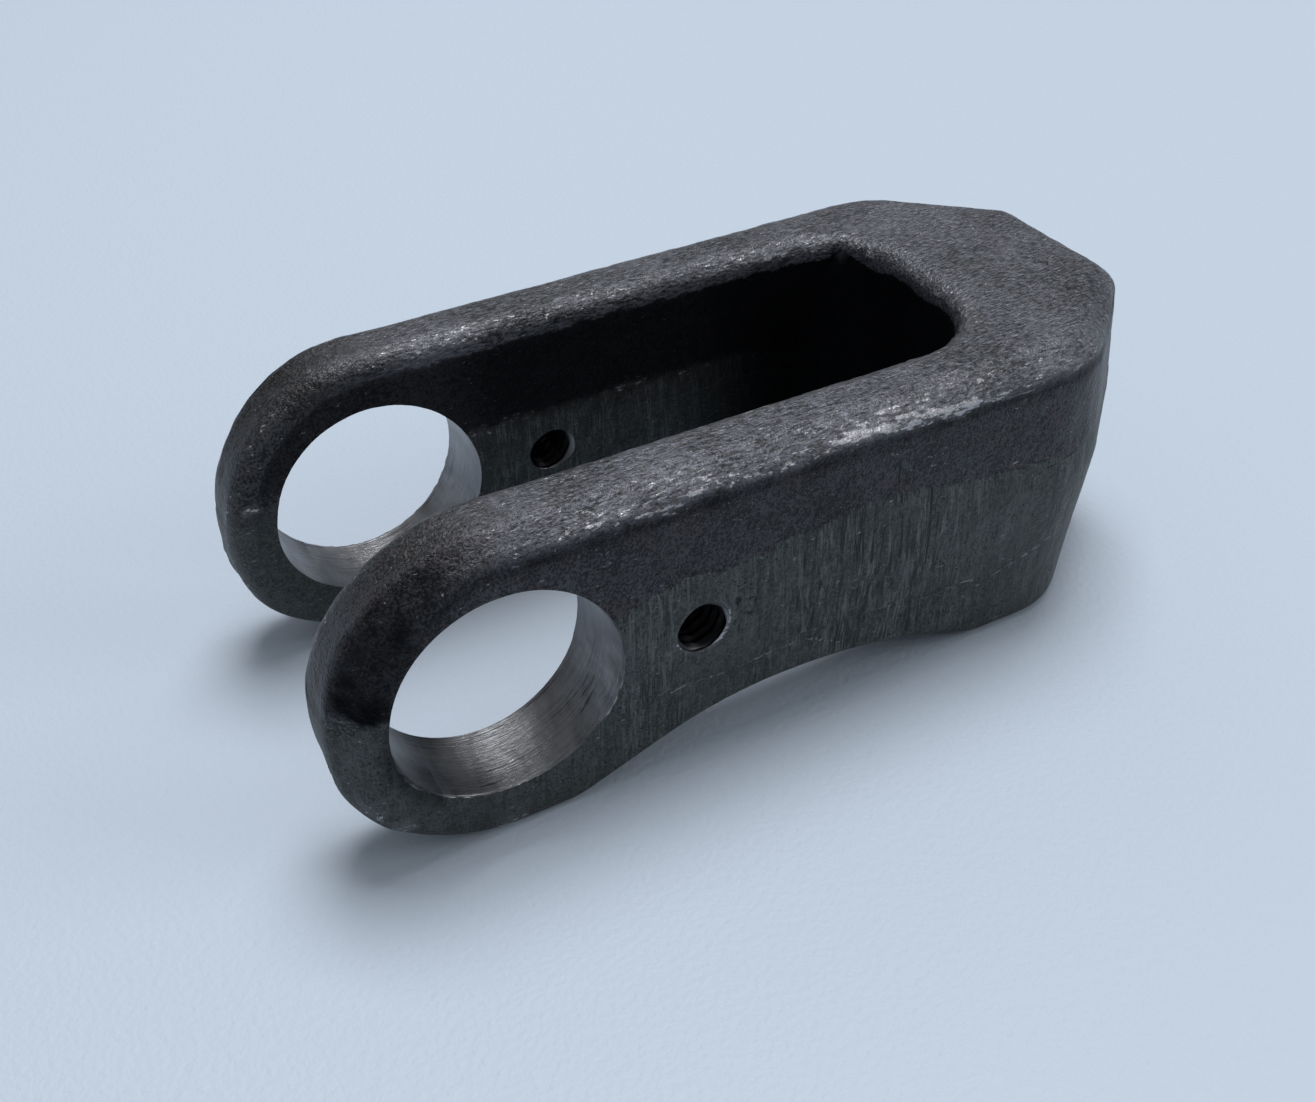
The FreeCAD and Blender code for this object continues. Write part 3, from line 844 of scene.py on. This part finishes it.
class PaintBox:
    """One material's node tree and the ways its nodes are added."""

    def __init__(self, name):
        self.material = bpy.data.materials.new(name)
        self.material.use_nodes = True
        self.tree = self.material.node_tree
        self.shader = self.tree.nodes["Principled BSDF"]
        self.place = self.node("ShaderNodeTexCoord", {}, out="Object")

    def plug(self, socket, value):
        """Link a wire to a socket, or set a constant on it."""
        if isinstance(value, Wire):
            self.tree.links.new(value.socket, socket)
        else:
            socket.default_value = value

    def node(self, kind, settings, *inputs, out=0, **named):
        """Add a node: its settings first, then its sockets by order or by name."""
        made = self.tree.nodes.new(kind)
        for name, value in settings.items():
            setattr(made, name, value)
        for socket, value in zip(made.inputs, inputs):
            self.plug(socket, value)
        for name, value in named.items():
            self.plug(made.inputs[name], value)
        return Wire(self, made.outputs[out])

    def set(self, **named):
        """Plug values into the shader's sockets, by name."""
        for name, value in named.items():
            self.plug(self.shader.inputs[name.replace("_", " ")], value)

    def stored(self, name):
        """A number painted on the mesh."""
        return self.node("ShaderNodeAttribute", {"attribute_name": name}, out="Fac")

    def stretched(self, x, y, z):
        """Place, with each axis multiplied, so that a pattern is drawn out along an axis."""
        return self.node("ShaderNodeVectorMath", {"operation": "MULTIPLY"}, self.place,
                         (x, y, z))

    def grain(self, size_mm, detail=2.0, roughness=0.5, place=None, distortion=0.0):
        """Noise from 0 to 1 with cells of the given size."""
        return self.node("ShaderNodeTexNoise", {}, Vector=place or self.place,
                         Scale=1.0 / (size_mm * MM), Detail=detail, Roughness=roughness,
                         Distortion=distortion)

    def cells(self, size_mm):
        """Distance from 0 at the middle of a cell outwards."""
        return self.node("ShaderNodeTexVoronoi", {"feature": "F1"}, Vector=self.place,
                         Scale=1.0 / (size_mm * MM), out="Distance")

    def mix(self, share, first, second):
        """A colour between two others."""
        made = self.tree.nodes.new("ShaderNodeMix")
        made.data_type = "RGBA"
        self.plug(made.inputs["Factor"], share)
        for socket, value in ((made.inputs[6], first), (made.inputs[7], second)):
            self.plug(socket, value if isinstance(value, Wire) else (*value, 1.0))
        return Wire(self, made.outputs[2])

    def bump(self, height, depth_mm):
        """A normal for a height from 0 to 1 that stands for the given depth."""
        return self.node("ShaderNodeBump", {}, Height=height, Distance=depth_mm * MM,
                         Strength=1.0)


def shaded(base, factor):
    """A colour made lighter or darker."""
    return tuple(channel * factor for channel in base)


def steel_material(colours):
    """Forged scale, sheared band, worn crests and turned bores of one piece of steel, with
    painted light on top, painted highlights on the crests and painted shade in the slot and
    holes.
    """
    box = PaintBox("forged_steel_skin")
    wear_and_highlight, top = box.stored("wear_and_highlight"), box.stored("top")
    cut, keep = box.stored("machined"), 1.0 - box.stored("machined")

    # Noises shared by what follows, and the areas whose edges they make ragged.
    sand = box.grain(0.32, 2.0, 0.70)
    peel = box.grain(0.85, 3.0, 0.62)
    patch = box.grain(3.2, 4.0, 0.65, distortion=0.6)
    cloud = box.grain(11.0, 3.0, 0.60)
    ragged = (patch - 0.5) * 0.30 + (peel - 0.5) * 0.22
    band = (box.stored("band") + ragged).step(0.47, 0.52)
    low = (box.stored("low") + ragged).step(0.47, 0.52)
    frayed = (peel - 0.5) * 0.30 + (sand - 0.5) * 0.15
    # Painted shade, with a frayed edge in the slot.
    shade_mask = box.stored("shade_mask") * (box.stored("brink") + frayed).step(0.46, 0.54)

    # Brown and dark scale above the parting plane, grey skin below, and painted light on top:
    # the upper faces and rims are made lighter and bluer, streaked with a painted sheen.
    grit = (sand * 0.72 + peel * 0.28 + (cloud - 0.5) * 0.25).step(0.43, 0.58)
    hue = patch.step(0.42, 0.60)
    scale = box.mix(grit, colours.scale_dark,
                    box.mix(hue, colours.scale_light, colours.scale_brown))
    grey = box.mix(grit, colours.grey_dark, colours.grey_light)
    skin = box.mix(low, scale, grey)
    sheen = box.grain(0.26, 3.0, 0.70, box.stretched(0.25, 1.0, 1.0))
    lit = (0.38 + (cloud - 0.5) * 1.0 + (sheen - 0.5) * 3.8).clamp()
    skin = box.mix(top * lit, skin, colours.painted_top_light)

    # The sheared band: upright drag lines, and scars between them.
    drag = box.grain(0.24, 3.0, 0.65, box.stretched(1.0, 1.0, 0.045))
    wide_drag = box.grain(1.1, 3.0, 0.60, box.stretched(1.0, 1.0, 0.060))
    drawn = (drag - 0.5) + (wide_drag - 0.5) * 0.6
    zone = box.stored("drawn") * band
    lines = (drawn + (patch - 0.5) * 0.35).step(0.05, 0.15) * zone
    scars = (-drawn + (patch - 0.5) * 0.25).step(0.07, 0.11) * zone
    skin = box.mix(band * 0.35, skin, shaded(colours.grey_light, 0.85))
    skin = box.mix(lines * 0.60, skin, shaded(colours.grey_light, 2.2))
    skin = box.mix(scars * 0.9, skin, colours.grey_dark)

    # Bare flecks of steel that also stand for painted glints, wear with a painted highlight
    # along the crests and rims, pits, cracks, raised seams, and painted shade.
    long_grain = box.grain(0.48, 4.0, 0.72, box.stretched(0.4, 1.0, 1.0))
    fleck = (long_grain + wear_and_highlight * 0.24 + top * 0.03).step(0.64, 0.75)
    skin = box.mix((fleck + wear_and_highlight * 0.22).clamp() * 0.85, skin, colours.wear_and_highlight)
    pits = (1.0 - box.cells(0.75).step(0.12, 0.24)) * (cloud + patch).step(0.98, 1.10)
    pits = pits * (1.0 - top)
    cracks = (box.stored("cracks") + (sand - 0.5) * 0.25).step(0.82, 0.92)
    seams = (box.stored("seams") + (sand - 0.5) * 0.45).step(0.82, 0.92)
    skin = box.mix((pits + cracks).clamp() * 0.9, skin, colours.scale_dark)
    skin = box.mix(seams * patch.step(0.40, 0.60) * 0.40, skin, colours.wear_and_highlight)
    skin = box.mix(shade_mask, skin, colours.painted_shade)

    # Bores: fine turned rings under a smeared shine, a few dark streaks, and painted shade in
    # the tapped holes.
    rings = box.grain(0.14, 3.0, 0.6, box.stretched(0.02, 1.0, 0.02))
    smear = box.grain(3.0, 4.0, 0.62, box.stretched(1.0, 0.40, 1.0))
    ground = (rings * 0.55 + smear * 0.9 - 0.22).step(0.20, 0.80)
    turned_steel = box.mix(ground, shaded(colours.machined, 0.38), colours.machined)
    streak = box.grain(0.45, 3.0, 0.65, box.stretched(0.07, 1.0, 0.07)).step(0.60, 0.70)
    turned_steel = box.mix(streak * 0.7, turned_steel, colours.scale_dark)
    turned_steel = box.mix(shade_mask, turned_steel, colours.painted_hole_shade)

    forged_rough = 0.40 + (sand - 0.5) * 0.40 + low * 0.10 - fleck * 0.08 + shade_mask * 0.3
    turned_rough = 0.24 + smear * 0.14
    forged_metal = (0.55 + fleck * 0.35) * (1.0 - shade_mask) + shade_mask
    relief = (sand * 0.17 + peel * 0.26) * (1.0 - low * 0.30)
    relief = relief + band * 0.06 + lines * 0.02 - scars * 0.05 + fleck * 0.03
    relief = relief - pits * 0.10 - cracks * 0.12 + seams * 0.10
    relief = relief * keep + rings * cut * 0.08
    box.set(Base_Color=box.mix(cut, skin, turned_steel),
            Roughness=forged_rough * keep + turned_rough * cut,
            Metallic=(forged_metal * keep + cut * 0.96).clamp(),
            Normal=box.bump(relief, 1.0))
    return box.material


def floor_material(colour_rgb):
    """Plain pale floor with a fine leather-like grain."""
    box = PaintBox("studio_floor")
    grain = box.grain(0.8, 2.0, 0.5)
    box.set(Base_Color=(*colour_rgb, 1.0), Roughness=0.5, Normal=box.bump(grain, 0.12))
    box.shader.inputs["Specular IOR Level"].default_value = 0.3
    return box.material


# ------------------------ operators

def paint_skin(mesh, form, holes):
    """Store the numbers that the steel's material reads on each vertex and face."""
    points, _ = vertex_arrays(mesh)
    x, _, z = points.T
    skin = Skin(form, points)
    in_slot_wall = skin.slot < 3 * MM

    side_band, below, slot_band = skin.bands()
    paint(mesh, "band", stored_distance(np.maximum(side_band, slot_band)))
    paint(mesh, "low", stored_distance(np.where(in_slot_wall, form.parting - z, below)))
    # Wear, and painted highlights along the crests and rims.
    paint(mesh, "wear_and_highlight", skin.crests(holes))

    # Where painted light goes: near the top faces, and a little further down the slot's rims.
    reach = np.where(in_slot_wall, 0.6 * MM, 0.0)
    top = smooth(3.6 * MM + reach, 1.6 * MM + reach, skin.face)
    paint(mesh, "top", top * skin.upper * smooth(-8 * MM, 10 * MM, x))

    drawn = 0.30 + 0.70 * bell(x, 44 * MM, 13 * MM) + 0.5 * bell(x, 73 * MM, 4 * MM)
    drawn += 0.5 * bell(x, 16 * MM, 4 * MM)
    paint(mesh, "drawn", np.where(in_slot_wall, 0.7 * (x > 8 * MM), drawn))

    # Painted shade, and its edge in the slot.
    painted_shade, brink = skin.shade_mask(holes)
    paint(mesh, "shade_mask", painted_shade)
    paint(mesh, "brink", brink)
    paint(mesh, "cracks", skin.lines(CRACKS, 1.2 * MM))
    paint(mesh, "seams", skin.lines(SEAMS, 1.2 * MM))
    paint(mesh, "machined", machined_faces(mesh, holes), "FACE")


class YOKE_OT_skin(bpy.types.Operator):
    """Build the forged skin, bore and tap it, and put it in the solid's place"""
    bl_idname = "yoke.skin"
    bl_label = "Forged skin"

    def execute(self, context):
        scene = context.scene
        form, marks, holes = scene.yoke_form, scene.yoke_skin, scene.yoke_holes
        piece = new_piece("yoke_skin", *forging(form))
        welded(piece, 0.002 * MM)
        points, normals = vertex_arrays(piece.data)
        rise = Skin(form, points).height(marks)
        write_points(piece.data, inside_box(points + normals * rise[:, None]))

        cutters = [new_piece("pin_cutter", *pin_cutter(form, holes)),
                   new_piece("thread_cutter", *thread_cutter(form, holes))]
        for cutter in cutters:
            welded(cutter, 0.0005 * MM)
        cut_out(piece, cutters)

        mesh = piece.data
        points, _ = vertex_arrays(mesh)
        write_points(mesh, inside_box(points))
        paint_skin(mesh, form, holes)
        mesh.polygons.foreach_set("use_smooth", [True] * len(mesh.polygons))
        mesh.set_sharp_from_angle(angle=math.radians(42))
        mesh.materials.clear()
        mesh.materials.append(steel_material(scene.yoke_colours))
        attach(piece, BODY)
        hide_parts(NODE)
        return {"FINISHED"}


def lamp(name, place, size, watts):
    """A square soft lamp that faces the yoke."""
    light = bpy.data.lights.new(name, "AREA")
    light.size, light.energy = size, watts
    made = bpy.data.objects.new(name, light)
    made.location = place
    made.rotation_euler = (Vector(LAMP_AIM) - Vector(place)).to_track_quat("-Z", "Y").to_euler()
    bpy.context.scene.collection.objects.link(made)


def sky(stage):
    """Even light from all round."""
    world = bpy.data.worlds.new("studio")
    world.use_nodes = True
    background = world.node_tree.nodes["Background"].inputs
    background["Color"].default_value = (*stage.sky_colour, 1.0)
    background["Strength"].default_value = stage.sky_strength
    return world


def camera(stage):
    """The camera: turned to its azimuth and elevation, and then rolled."""
    azimuth, up, roll = stage.azimuth, stage.elevation, stage.roll
    forward = Vector((-math.sin(azimuth) * math.cos(up), math.cos(azimuth) * math.cos(up),
                      -math.sin(up)))
    right = forward.cross((0, 0, 1)).normalized()
    down = forward.cross(right)
    side = right * math.cos(roll) - down * math.sin(roll)
    drop = right * math.sin(roll) + down * math.cos(roll)
    lens = bpy.data.cameras.new("camera")
    lens.sensor_width, lens.lens = 36.0, stage.lens
    lens.shift_x, lens.shift_y = stage.shift
    lens.clip_start, lens.clip_end = 0.01, 20.0
    made = bpy.data.objects.new("camera", lens)
    turn = Matrix((side, -drop, -forward)).transposed().to_4x4()
    made.matrix_world = Matrix.Translation(stage.place) @ turn
    return made


class YOKE_OT_stage(bpy.types.Operator):
    """Build the floor, the lamps and the camera"""
    bl_idname = "yoke.stage"
    bl_label = "Stage"

    def execute(self, context):
        scene, stage = context.scene, context.scene.yoke_stage
        rise, far = math.tan(stage.tilt), stage.floor_size
        points = [(x, y, stage.floor_height + (x - stage.floor_pivot) * rise)
                  for x, y in ((-far, -far), (far, -far), (far, far), (-far, far))]
        ground = new_piece("floor", points, [[0, 1, 2, 3]])
        ground.data.materials.append(floor_material(stage.floor_colour))

        for settings in LAMPS:
            lamp(*settings)
        scene.world = sky(stage)
        scene.camera = camera(stage)
        scene.collection.objects.link(scene.camera)
        scene.view_settings.view_transform = "Standard"
        return {"FINISHED"}


class YOKE_PT_panel(bpy.types.Panel):
    """Lists the yoke's settings and builders"""
    bl_idname = "YOKE_PT_panel"
    bl_label = "Forged Yoke"
    bl_space_type = "VIEW_3D"
    bl_region_type = "UI"
    bl_category = "Forged Yoke"

    def draw(self, context):
        for name in GROUPS:
            group = getattr(context.scene, name)
            column = self.layout.column(heading=name.replace("_", " "))
            for key in group.__annotations__:
                column.prop(group, key)
        for operator in (YOKE_OT_skin, YOKE_OT_stage):
            self.layout.operator(operator.bl_idname)


GROUPS = {"yoke_form": YokeForm, "yoke_skin": YokeSkin, "yoke_holes": YokeHoles,
          "yoke_colours": YokeColours, "yoke_stage": YokeStage}
CLASSES = (*GROUPS.values(), YOKE_OT_skin, YOKE_OT_stage, YOKE_PT_panel)


def register():
    """Add the classes, and the settings on the scene."""
    for made in CLASSES:
        bpy.utils.register_class(made)
    for name, group in GROUPS.items():
        setattr(bpy.types.Scene, name, PointerProperty(type=group))


def unregister():
    """Take the settings and the classes away again."""
    for name in GROUPS:
        delattr(bpy.types.Scene, name)
    for made in reversed(CLASSES):
        bpy.utils.unregister_class(made)


def main():
    """Build the skin and the stage."""
    register()
    bpy.ops.yoke.skin()
    bpy.ops.yoke.stage()


if __name__ == "__main__":
    main()
